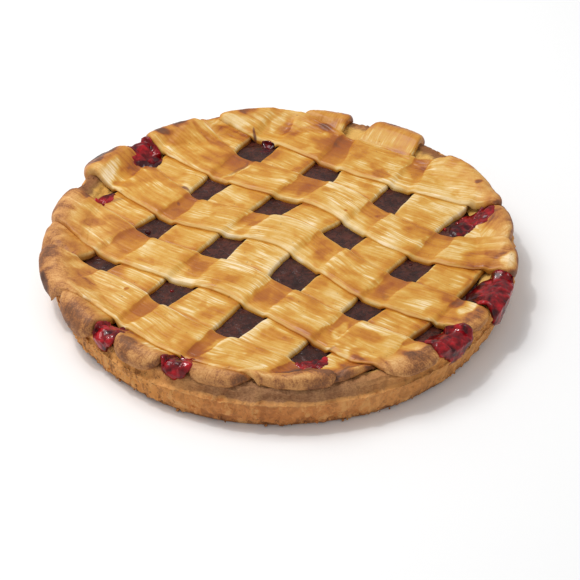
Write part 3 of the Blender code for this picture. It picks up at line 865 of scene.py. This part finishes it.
def bakedStrip(places, s, t, crossed, seed, layer):
    # what the finish reads: how brown, with some painted shade and highlight, how much egg wash, how sandy,
    # and where cut or stained
    def by(key, low, high):
        return smooth(low, high, places[key])

    x, y, rim, upper = places["x"] * mm, places["y"] * mm, places["rim"], layer["upper"]
    brownAndShading = 0.0
    for amount, *limits in browning.values():
        for limit in limits:
            amount = amount * by(*limit)
        brownAndShading = brownAndShading + amount
    # wash pooled where a strip dips between two others, on an upper one most on its far side
    waviness = 1.2 * mm * np.sin(y / (5 * mm)) + 0.8 * mm * np.sin(x / (3.1 * mm) + y / (7 * mm))
    if upper:
        pooled = smooth(0.62, 0.78, 1.0 - lowerCover(x + waviness, y, 4 * mm)) * (1.0 - rim)
        pooled = pooled * smooth(0.75, -0.1, t + 0.35 * np.sin(s / (19 * mm) + seed))
        brownAndShading = brownAndShading + (0.25 + 0.06 * np.sin(s / (31 * mm) + 2.0 * seed)) * pooled
    else:
        pooled = smooth(0.25, 0.65, upperCover(x + waviness, y, 4.5 * mm)) * (1.0 - rim)
        brownAndShading = brownAndShading + 0.12 * pooled
    # it gathered along the sides, now more, now less; the rounded edges are painted paler, as pale dough and
    # as a painted highlight where they catch the light
    gathered = 0.5 + 0.5 * np.sin(s / (23 * mm) + 3.0 * np.sign(t) + seed)
    brownAndShading = brownAndShading + 0.24 * gathered * by("edge", 0.45, 0.85) - 0.11 * by("side", 0.35, 0.75) * (1.0 - rim)
    marks = marked(bakeAndShadowMarks, x, y) * (1.0 - 0.6 * by("end", 0.7, 1.0) * by("y", -60, 0))
    brownAndShading = brownAndShading + marks * (0.75 + 0.2 * rim)
    sand = by("r", 116, 133) * (0.55 + 0.35 * by("x", 30, -90)) * (1.0 - 0.75 * by("y", 30, 80))
    sand = np.maximum(sand, by("r", 116, 130) * by("y", -50, -90))
    sand = np.maximum(sand, 0.3 * by("x", -80, -120) * by("y", 50, 10))
    inside = 1.0 - by("r", 108, 122)
    flat = 1.0 - by("wall", 0.1, 0.7)
    wash = (1.0 - 0.55 * by("r", 120, 134)) * (1.0 - 0.8 * pooled) * (1.0 - by("end", 0.2, 0.7)) * flat
    return {
        "bake": brownAndShading,
        "most": 0.71 + (0.15 + 0.02 * by("y", 0, -40)) * by("r", 100, 122),
        "wash": wash,
        "cut": by("side", 0.7, 1.0) * (1.0 - by("wall", 0.1, 0.4)) * inside,
        "sand": sand,
        "stain": np.clip(by("wall", 0.7, 1.0) * inside * (1.0 - crossed) + marked(jamStains, x, y), 0, 1),
        "flat": flat,
    }


def laidStripTree():
    tree, given = newTree("laidStrip", stripShape["relief"], Bed="Object", Finish="Material")
    spot = source(tree, "GeometryNodeInputPosition")
    x, y, _ = apart(spot)
    hit = after("GeometryNodeRaycast", {
        "Target Geometry": shapeOf(given["Bed"]), "Source Position": together(x, y, 0.1),
        "Ray Direction": (0.0, 0.0, -1.0), "Ray Length": 1.0}, "Hit Position")
    laid = together(x, y, apart(hit)[2] + readAttribute(tree, "lift"))
    down = after("GeometryNodeSetPosition", {"Geometry": given["Geometry"], "Position": laid})
    relief = (noise(spot, 46.0, 1.5) - 0.5) * given["Dent"]
    relief = relief + (noise(spot, 210.0, 2.0) - 0.5) * given["Ripple"]
    relief = relief + (brushStrokes(tree)[0] - 0.5) * given["Groove"]
    return endTree(tree, pushed(down, relief * (readAttribute(tree, "skin") * 2.0)), given["Finish"])


layers = {
    "lower": {"strips": lowerStrips, "angle": lattice["lowerAngle"], "bed": lowerBed, "upper": False,
              "thickness": lowerThickness, "other": upperCover, "cells": (300, 22)},
    "upper": {"strips": upperStrips, "angle": lattice["upperAngle"], "bed": upperBed, "upper": True,
              "thickness": upperThickness, "other": lowerCover, "cells": (190, 34)},
}


def makeLattice():
    tree = laidStripTree()
    seed = 0
    for name, layer in layers.items():
        guide = bedGuide(name + "Guide", layer["bed"])
        for number, strip in enumerate(layer["strips"], 1):
            seed += 1
            pieceName = f"{name}Strip{number}"
            mesh = stripMesh(pieceName, strip, layer, seed)
            facedOut(mesh)
            values = {"Bed": guide, "Finish": washedCrust, **stripShape["relief"]}
            piece = runTree(addObject(pieceName, mesh), tree, values)
            place(piece, "lattice_crust", f"{name}_strip_{number}")
        bpy.data.objects.remove(guide)


makeLattice()


# Pastry shell

shellShape = {
    "turns": 910,  # points round the tart
    "step": 0.75 * mm,  # along the part of the profile that shows
    "hiddenStep": 9.0 * mm,
    "relief": {"Dent": 1.0 * mm, "Flake": 4.2 * mm, "Crumb": 2.2 * mm, "Ridge": 2.4 * mm, "Crease": 0.6 * mm},
    # radius and height in mm, and share of the lean
    "outside": (
        (0.0, 0.0, 0.0), (127.0, 0.0, 0.0), (129.6, 0.35, 0.0), (131.1, 1.5, 0.0), (132.2, 4.0, 0.0),
        (133.3, 8.0, 0.0), (134.3, 14.5, 0.0), (134.5, 16.9, 0.0), (135.2, 17.6, 0.0), (135.2, 18.2, 0.0),
        (133.4, 18.7, 0.15), (134.7, 20.6, 0.7)),
    "floor": ((111.0, 8.0, 0.0), (107.0, 5.0, 0.0), (0.0, 5.0, 0.0)),
}


def shellProfile():
    # radius, height, lean share and whether it is the inner wall, from under the middle out and back in
    scale = (mm, mm, 1.0)
    outside, floor = (np.array(shellShape[key]) * scale for key in ("outside", "floor"))
    path = np.concatenate((outside, rimPath()[::-1], floor))
    length = np.append(0.0, np.cumsum(np.hypot(np.diff(path[:, 0]), np.diff(path[:, 1]))))
    over = len(outside)
    shownFrom, shownTo = length[1] - 2 * mm, length[over + 6] + 1 * mm
    marks = np.concatenate((
        np.arange(0.0, shownFrom, shellShape["hiddenStep"]),
        np.arange(shownFrom, shownTo, shellShape["step"]),
        np.arange(shownTo, length[-1], shellShape["hiddenStep"]), [length[-1]]))
    columns = [np.interp(marks, length, path[:, k]) for k in range(3)]
    inner = smooth(length[over + 2] + 1.5 * mm, length[over + 3] + 2.0 * mm, marks)
    inner[0] = 0.0
    return np.column_stack(columns + [inner])


def turnedShellTree():
    relief = shellShape["relief"]
    tree, given = newTree("turnedShell", relief, Profile="Object", Rows="Int", Turns="Int", Finish="Material")
    across = {"Vertices X": given["Turns"] + 1.0, "Vertices Y": given["Rows"]}
    grid = after("GeometryNodeMeshGrid", {"Size X": 1.0, "Size Y": 1.0, **across}, "Mesh")
    index = source(tree, "GeometryNodeInputIndex")
    row = calc("FLOORED_MODULO", index, given["Rows"])
    angle = calc("FLOOR", (index + 0.5) / given["Rows"]) / given["Turns"] * (2 * math.pi)
    profile = shapeOf(given["Profile"])

    def sample(value, kind="FLOAT"):
        inputs = {"Geometry": profile, "Value": value, "Index": row}
        return after("GeometryNodeSampleIndex", inputs, data_type=kind, domain="POINT")

    spot = source(tree, "GeometryNodeInputPosition")
    radius, _, height = apart(sample(spot, "FLOAT_VECTOR"))
    share, inner = (sample(readAttribute(tree, name)) for name in ("leanShare", "innerWall"))
    # lean at the front, a wavy foot and a wavy rim
    turn = abs(calc("FLOORED_MODULO", angle - crust["frontAngle"] + math.pi, 2 * math.pi) - math.pi)
    lean = scaled(turn, 0.0, crust["frontSpread"], crust["frontTuck"], 0.0)
    waves = crust["waves"]
    swell = sum(calc("SINE", angle * float(turns) + phase) * part for turns, part, phase in waves)
    low = scaled(height, *crust["footRun"], crust["footWave"], 0.0)
    low = low * scaled(radius, 125.0 * mm, 127.0 * mm)
    high = scaled(height, 18.0 * mm, 24.0 * mm, 0.0, crust["rimWave"])
    radius = radius - share * lean + swell * low
    put = together(radius * calc("COSINE", angle), radius * calc("SINE", angle), height + swell * high)
    turned = after("GeometryNodeSetPosition", {"Geometry": grid, "Position": put})
    stored = after("GeometryNodeStoreNamedAttribute", {
        "Geometry": turned, "Name": "inner", "Value": inner}, data_type="FLOAT", domain="POINT")
    closed = after("GeometryNodeMergeByDistance", {"Geometry": stored, "Distance": 0.02 * mm})
    # relief, only where the crust shows, and coarser at the foot
    x, y, z = apart(spot)
    relief = (noise(spot, 35.0, 2.0) - 0.55) * given["Dent"]
    relief = relief + (noise(spot, 150.0, 2.0, 0.6, 0.5) - 0.58) * given["Flake"]
    coarse = scaled(z, 2.0 * mm, 7.0 * mm, 2.2, 1.0)
    relief = relief + (noise(spot, 330.0, 3.0, 0.6) - 0.6) * given["Crumb"] * coarse
    nearRidge = calc("SUBTRACT", 1.0, abs((z - 17.8 * mm) / (1.6 * mm)), clamp=True)
    relief = relief + (noise(spot, 210.0, 2.0) - 0.6) * given["Ridge"] * nearRidge
    upright = noise(vectorCalc("MULTIPLY", spot, (1.0, 1.0, 0.12)), 120.0, 1.0)
    relief = relief + scaled(upright, 0.28, 0.42, -1.0, 0.0) * given["Crease"]
    shown = scaled(z, 0.1 * mm, 1.6 * mm) * scaled(calc("SQRT", x * x + y * y), 116.0 * mm, 119.0 * mm)
    even = after("GeometryNodeSetShadeSmooth", {"Geometry": pushed(closed, relief * shown)})
    return endTree(tree, even, given["Finish"])


def makeShell():
    rows = shellProfile()
    points = np.column_stack((rows[:, 0], np.zeros(len(rows)), rows[:, 1]))
    mesh = newMesh("shellProfile", points, [], {"leanShare": rows[:, 2], "innerWall": rows[:, 3]})
    profile = addObject("shellProfile", mesh)
    piece = runTree(addObject("pastryShell", bpy.data.meshes.new("pastryShell")), turnedShellTree(), {
        "Profile": profile, "Rows": len(rows), "Turns": shellShape["turns"], "Finish": sideCrust,
        **shellShape["relief"]})
    bpy.data.objects.remove(profile)
    facedOut(piece.data)
    place(piece, "shell_crust", "shell")


makeShell()


# Crumbs along the foot

crumbs = {
    "count": 40,
    "front": 16,  # how many of them lie at the front, about this angle
    "angle": math.radians(-80),
    "spread": 0.45,
    "size": (0.3 * mm, 1.0 * mm),
    "highest": 16.0 * mm,
    "reach": 135.5 * mm,
    "rough": 1.44 * mm,
    "side": ((0.0, 130.6), (4.0, 132.3), (14.5, 134.2), (17.0, 134.8)),  # heights and radii in mm
}


def crumbTree():
    tree, given = newTree("strewnCrumbs", ("Rough",), Finish="Material")
    ball = addNode(tree, "GeometryNodeMeshIcoSphere", {"Radius": 1.0, "Subdivisions": 3})
    strewn = after("GeometryNodeInstanceOnPoints", {
        "Points": given["Geometry"], "Instance": Wire(ball.outputs["Mesh"]),
        "Rotation": readAttribute(tree, "turn", "FLOAT_VECTOR"), "Scale": readAttribute(tree, "size")})
    real = after("GeometryNodeRealizeInstances", {"Geometry": strewn})
    spot = source(tree, "GeometryNodeInputPosition")
    return endTree(tree, pushed(real, (noise(spot, 900.0, 2.0, 0.6) - 0.5) * given["Rough"]), given["Finish"])


def makeCrumbs():
    count = crumbs["count"]
    angle = random.uniform(-math.pi, math.pi, count)
    angle[:crumbs["front"]] = random.normal(crumbs["angle"], crumbs["spread"], crumbs["front"])
    small, large = crumbs["size"]
    size = small + (large - small) * random.uniform(0, 1, count) ** 2
    height = size * 0.8 + crumbs["highest"] * random.uniform(0, 1, count) ** 3
    low = np.interp(height, *(np.array(crumbs["side"]) * mm).T)
    waved = crust["footWave"] * wave(angle) * (1.0 - smooth(*crust["footRun"], height))
    radius = low + waved + 0.1 * size
    radius = np.minimum(radius, crumbs["reach"] - size)
    points = np.column_stack((radius * np.cos(angle), radius * np.sin(angle), height + 0.5 * size + 0.3 * mm))
    mesh = newMesh("crustCrumbs", points, [], {"size": size, "turn": random.uniform(0, fullTurn, (count, 3))})
    values = {"Rough": crumbs["rough"], "Finish": sideCrust}
    piece = runTree(addObject("crustCrumbs", mesh), crumbTree(), values)
    facedOut(piece.data)
    place(piece, "shell_crust")


makeCrumbs()


# Jam

jamShape = {
    "cells": 220,
    "inset": 0.8 * mm,  # from the foot of the wall
    "swell": 1.2 * mm,  # it boiled up between the strips
    "swellRun": (112.0 * mm, 100.0 * mm),
    "rimDip": 0.5 * mm,
    "rimDipRun": 3.0 * mm,
    "dampRun": 3.5 * mm,  # wetter beside the strips
    "wrinkle": 1.3 * mm,
    "lump": 2.4 * mm,
    "underside": ((112.5, 15.0), (110.5, 8.2), (106.8, 5.3)),  # radii and heights in mm
    "rings": 22,  # of a spill
    "turns": 96,
    "film": 0.75 * mm,  # how thick a spill lies on the crust
    "sideFilm": 1.25 * mm,  # and on the side of the tart
    "sunk": 0.25 * mm,
    "edgeDrop": 0.7 * mm,
    "depth": 1.2 * mm,
    "undercut": 1.5 * mm,
    "overEdge": 0.4 * mm,
    "darkRun": 4.0 * mm,
    "waves": ((5, 0.03), (9, 0.03), (14, 0.02)),
}
# Outlines of the jam that boiled over, in mm, how high it stands between the strips, and inside what radius
# it is dark
oozes = (
    {"height": 2.6, "dark": 119, "outline": (
        (108, -38), (116, -34), (124, -34), (130, -38), (133, -46), (131, -58), (127, -69), (120, -71),
        (113, -64), (107, -59), (101, -54), (104, -45))},
    {"height": 2.5, "dark": 114, "outline": (
        (79, -82), (86, -80), (93, -79), (100, -81), (104, -88), (101, -98), (91, -107), (84, -104),
        (79, -97), (73, -90))},
    {"height": 2.6, "dark": 109, "outline": (
        (96, 12), (103, 20), (108, 28), (121, 31), (127, 27), (124, 17), (115, 13), (106, 7), (99, 5))},
    {"height": 3.4, "dark": 116, "outline": (
        (-97, 86), (-93, 97), (-86, 101), (-81, 96), (-76, 89), (-73, 80), (-79, 72), (-87, 72))},
    {"height": 1.6, "dark": 100, "outline": (
        (-113, 34), (-110, 40), (-105, 47), (-101, 49), (-101, 43), (-106, 36))},
    {"height": 4.0, "dark": 114, "outline": (
        (-102, -87), (-99, -79), (-91, -76), (-83, -80), (-82, -87), (-88, -93), (-96, -97), (-101, -94))},
    {"height": 3.6, "dark": 108, "outline": (
        (-64, -109), (-58, -103), (-51, -104), (-45, -108), (-46, -117), (-53, -121), (-61, -117))},
    {"height": 2.4, "dark": 103, "outline": (
        (6, -107), (14, -102), (24, -102), (25, -109), (18, -114), (9, -113))},
    {"height": 1.8, "dark": 103, "outline": (
        (-15, 101), (-12, 106), (-5, 102), (-5, 95), (-12, 91))},
)
# Bubbles and berries that stand out of the jam: where, and how wide, in mm
bubbles = (
    (96, 14, 1.4), (108, 25, 1.6), (104, 20, 1.2), (-79, 12, 2.0), (-62, -43, 1.4), (74, -19, 1.3),
)


def jamDisc():
    n = jamShape["cells"]
    line = np.linspace(-1.0, 1.0, n + 1)
    a, b = np.meshgrid(line, line, indexing="ij")
    # a square bent to a disc, with cells of nearly one size
    reach = crust["wallFoot"] - jamShape["inset"]
    x = (a * np.sqrt(1.0 - b * b / 2.0) * reach).ravel()
    y = (b * np.sqrt(1.0 - a * a / 2.0) * reach).ravel()
    r = np.hypot(x, y)
    z = jamTop(x, y) + jamShape["swell"] * smooth(*jamShape["swellRun"], r)
    z = z - jamShape["rimDip"] * smooth(reach - jamShape["rimDipRun"], reach, r)
    near = np.maximum(*(over(x, y, jamShape["dampRun"]) for over in (upperCover, lowerCover)))
    damp = smooth(0.2, 0.9, np.sin(x / (17 * mm) + 0.7) * np.sin(y / (13 * mm) + 2.0))
    faces = gridFaces(n + 1)
    index = np.arange((n + 1) ** 2).reshape(n + 1, n + 1)
    ring = np.concatenate((index[0, :-1], index[:-1, -1], index[-1, :0:-1], index[:0:-1, 0]))
    points = [np.column_stack((x, y, z))]
    count, last = (n + 1) ** 2, ring
    ringX, ringY = x[ring] / r[ring], y[ring] / r[ring]
    for radius, height in jamShape["underside"]:
        points.append(np.column_stack((ringX * radius, ringY * radius, ringX * 0.0 + height)) * mm)
        new = count + np.arange(len(ring))
        faces += faceList(last, np.roll(last, -1), np.roll(new, -1), new)
        count += len(ring)
        last = new
    faces.append(last.tolist())
    hidden = np.zeros(count - len(x))
    wet = np.append(0.5 * damp * smooth(0.6, 1.0, near), hidden)
    return np.concatenate(points), faces, {"wet": wet, "skin": np.append(np.ones_like(x), hidden)}


def oozePatch(ooze):
    # a thick film draped over the rim and the strips, which stands higher in the gap between them
    rings, turns = jamShape["rings"], jamShape["turns"]
    outline = np.array(ooze["outline"], float) * mm
    centre = outline.mean(axis=0)
    away = outline - centre
    theta = np.arange(turns) * 2 * math.pi / turns
    reach = np.interp(theta, np.arctan2(away[:, 1], away[:, 0]), np.hypot(*away.T), period=2 * math.pi)
    for _ in range(2):
        reach = (np.roll(reach, 1) + 2 * reach + np.roll(reach, -1)) / 4.0
    for waves, part in jamShape["waves"]:
        reach = reach * (1.0 + part * np.sin(waves * theta + random.uniform(0, fullTurn)))
    share = np.linspace(0.0, 1.0, rings + 1)[1:]
    x = np.append(centre[0] + np.outer(share, reach * np.cos(theta)).ravel(), centre[0])
    y = np.append(centre[1] + np.outer(share, reach * np.sin(theta)).ravel(), centre[1])
    share = np.append(np.repeat(share, turns), 0.0)
    r = np.hypot(x, y)
    edge = crust["rimRadius"] + jamShape["overEdge"] - tuck(np.arctan2(y, x))
    past = np.maximum(r - edge, 0.0)
    pull = np.minimum(r, edge) / r
    x, y = x * pull, y * pull
    dome = (1.0 - share ** 3) ** 0.5
    ground = groundTop(x, y) + ooze["height"] * mm * dome
    film = tartTop(x, y) + jamShape["film"] * dome
    top = softMax(ground, film, 0.5 * mm) - jamShape["sunk"] - jamShape["edgeDrop"] * share ** 10 - past
    bulge = np.where(past > 0.0, jamShape["sideFilm"] * dome, 0.0)
    x, y = x * (1.0 + bulge / r), y * (1.0 + bulge / r)
    under = 1.0 - jamShape["undercut"] / r
    points = np.column_stack((x, y, top))
    below = np.column_stack((x * under, y * under, top - jamShape["depth"]))
    rim = np.arange((rings - 1) * turns, rings * turns)
    index = np.arange(rings * turns).reshape(rings, turns)
    a, b = index[:-1].ravel(), np.roll(index, -1, axis=1)[:-1].ravel()
    lowest = rings * turns + 1 + np.arange(turns)
    faces = faceList(a, a + turns, b + turns, b)
    faces += faceList(rim, lowest, np.roll(lowest, -1), np.roll(rim, -1))
    faces += faceList(np.full(turns, rings * turns), index[0], np.roll(index[0], -1))
    faces += faceList(np.full(turns, lowest[-1] + 1), np.roll(lowest, -1), lowest)
    points = np.concatenate((points, below[rim], below[-1:]))
    skin = np.append(1.0 - share ** 8, np.zeros(turns + 1))
    darkTo, run = ooze["dark"] * mm, jamShape["darkRun"]
    dark = 0.9 * smooth(darkTo + run, darkTo - run, np.hypot(points[:, 0], points[:, 1]))
    return points, faces, {"skin": skin, "dark": dark}


def jamTree(name, scale, bend):
    tree, given = newTree(name, ("Lump",), Finish="Material")
    lump = noise(source(tree, "GeometryNodeInputPosition"), scale, 2.0, 0.45, bend) - 0.45
    shape = pushed(given["Geometry"], lump * given["Lump"] * readAttribute(tree, "skin"))
    return endTree(tree, shape, given["Finish"])


def placeJam(name, points, faces, values, tree, lump, finish, *nodes):
    mesh = newMesh(name, points, faces, values)
    facedOut(mesh)
    piece = runTree(addObject(name, mesh), tree, {"Lump": jamShape[lump], "Finish": finish})
    place(piece, "raspberry_jam", *nodes)


def makeOozes():
    drops = []
    for bubbleX, bubbleY, wide in bubbles:
        outline = [(bubbleX + wide * math.cos(k), bubbleY + wide * math.sin(k)) for k in range(6)]
        drops.append({"outline": outline, "height": 0.9 * wide + jamShape["swell"] / mm, "dark": 90})
    points, faces, values, count = [], [], {"skin": [], "dark": []}, 0
    for ooze in oozes + tuple(drops):
        patch, patchFaces, patchValues = oozePatch(ooze)
        points.append(patch)
        faces += [[i + count for i in face] for face in patchFaces]
        for key in values:
            values[key].append(patchValues[key])
        count += len(patch)
    values = {key: np.concatenate(parts) for key, parts in values.items()}
    tree = jamTree("lumpyJam", 210.0, 0.0)
    placeJam("jamOozes", np.concatenate(points), faces, values, tree, "lump", wetFinish)


placeJam("raspberryJam", *jamDisc(), jamTree("wrinkledSkin", 190.0, 0.6), "wrinkle", skinFinish, "filling")
makeOozes()


# Floor, light and camera

studio = {
    "floorSize": 6.0,
    "floorColour": (0.86, 0.86, 0.86, 1.0),
    "sky": 0.62,
    "lights": {
        "key": {"power": 12.0, "size": 0.8, "from": (-0.62, 0.30, 1.30)},
        "sparkle": {"power": 4.0, "size": 0.08, "from": (-0.50, 0.10, 1.35)},
    },
}
view = {
    "distance": 0.95,
    "elevation": math.radians(38.3),
    "pan": math.radians(0.27895),
    "tilt": math.radians(-0.59891),
    "focalPixels": 1605.975,
    "framePixels": 580,
    "sensor": 36.0,
}


def makeStudio():
    bpy.ops.mesh.primitive_plane_add(size=studio["floorSize"], location=(0, 0, -0.05 * mm))
    floor = bpy.context.object
    floor.name = "paleFloor"
    made = newMaterial("pale_floor")
    inputs = {"Base Color": studio["floorColour"], "Roughness": 0.8}
    setInputs(made.node_tree, made.node_tree.nodes["Principled BSDF"], inputs)
    floor.data.materials.append(made)
    world = bpy.data.worlds.new("softSky")
    world.use_nodes = True
    inputs = {"Color": (1.0, 1.0, 1.0, 1.0), "Strength": studio["sky"]}
    setInputs(world.node_tree, world.node_tree.nodes["Background"], inputs)
    bpy.context.scene.world = world
    for name, values in studio["lights"].items():
        lamp = bpy.data.lights.new(name, "AREA")
        lamp.energy, lamp.size = values["power"], values["size"]
        light = addObject(name, lamp)
        light.location = values["from"]
        light.rotation_euler = (-light.location).to_track_quat("-Z", "Y").to_euler()


def makeCamera():
    lens = bpy.data.cameras.new("camera")
    camera = addObject("camera", lens)
    turns = ((math.pi / 2 - view["elevation"], "X"), (-view["pan"], "Y"), (view["tilt"], "X"))
    matrix = Matrix.Identity(4)
    for angle, axis in turns:
        matrix = matrix @ Matrix.Rotation(angle, 4, axis)
    back, up = math.cos(view["elevation"]), math.sin(view["elevation"])
    matrix.translation = (0.0, -back * view["distance"], up * view["distance"])
    camera.matrix_world = matrix
    lens.sensor_width = view["sensor"]
    lens.lens = view["focalPixels"] / view["framePixels"] * view["sensor"]
    bpy.context.scene.camera = camera


makeStudio()
makeCamera()
bpy.context.scene.view_settings.view_transform = "Standard"
print("floor, light and camera ready")
